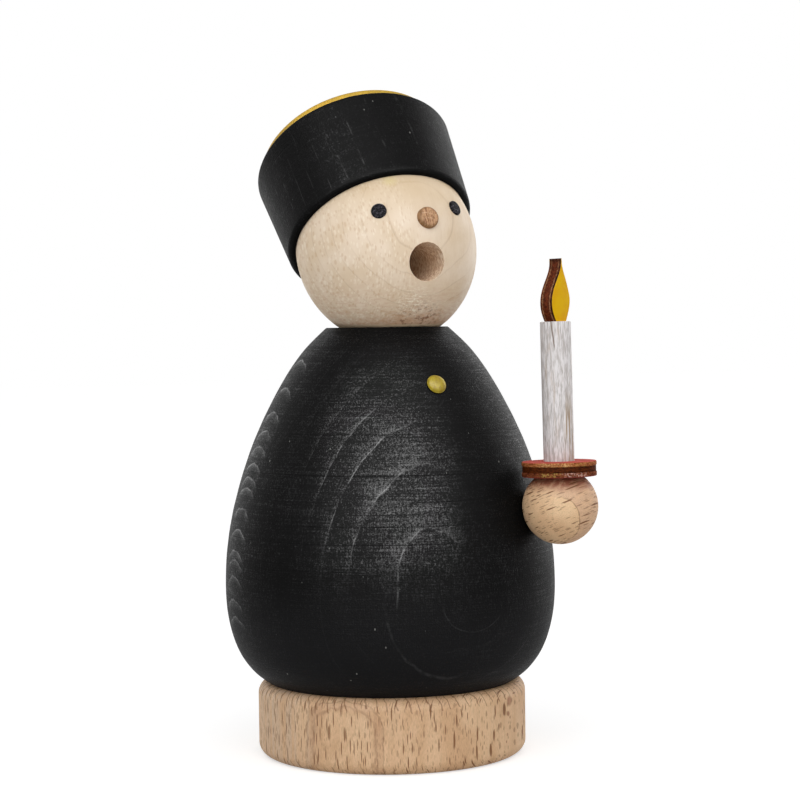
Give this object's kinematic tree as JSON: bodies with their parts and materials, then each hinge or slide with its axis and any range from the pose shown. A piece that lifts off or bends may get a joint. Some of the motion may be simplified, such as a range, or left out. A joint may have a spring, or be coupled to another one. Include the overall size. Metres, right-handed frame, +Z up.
{
  "type": "german incense smoker",
  "caption": "Turned wooden smoker figure with a hat, a candle in one hand and a round mouth; the hollow body lifts off a disc base that holds an incense cone.",
  "frame": {"origin": "centre of the base disc's underside, on the turned axis", "axes": "+Z up along the turned axis of base and body; the figure looks along -Y; +X is the figure's left"},
  "size_m": [0.0678, 0.0729, 0.136],
  "materials": {
    "beech": "raw turned beech, fine sanded",
    "pale_maple": "raw turned maple, fine sanded",
    "black_stain": "black stained wood, thin matt lacquer",
    "gilt": "gold paint, satin",
    "dark_pegs": "black stained peg, end grain",
    "nose_wood": "raw peg, end grain",
    "red_paint": "red paint over a light ply",
    "burnt_core": "laser-burnt ply edge",
    "light_ply": "scorched light ply edge",
    "white_paint": "thin white paint, worn along the grain",
    "flame_paint": "yellow paint on the faces, burnt edge",
    "button_brass": "domed tack, satin gold",
    "dish_metal": "stamped sheet",
    "nail_steel": "bright wire nail"
  },
  "bodies": {
    "stand": {"base_disc": "beech", "incense_dish": "dish_metal", "dish_nails": "nail_steel"},
    "figure": {"body_shell": "black_stain", "neck_tube": "beech", "head": "pale_maple", "eye_left": "dark_pegs", "eye_right": "dark_pegs", "nose": "nose_wood", "hat": "black_stain", "hat_top": "gilt", "chest_button": "button_brass", "hand_ball": "beech", "arm_dowel": "beech", "tray_back_ply": "light_ply", "tray_core_ply": "burnt_core", "tray_face_ply": "red_paint", "candle": "white_paint", "flame": "flame_paint"}
  },
  "joints": [
    {"name": "figure_lift", "type": "slide", "parent": "stand", "child": "figure", "axis": [0, 0, 1], "range_m": [0, 0.06]}
  ]
}
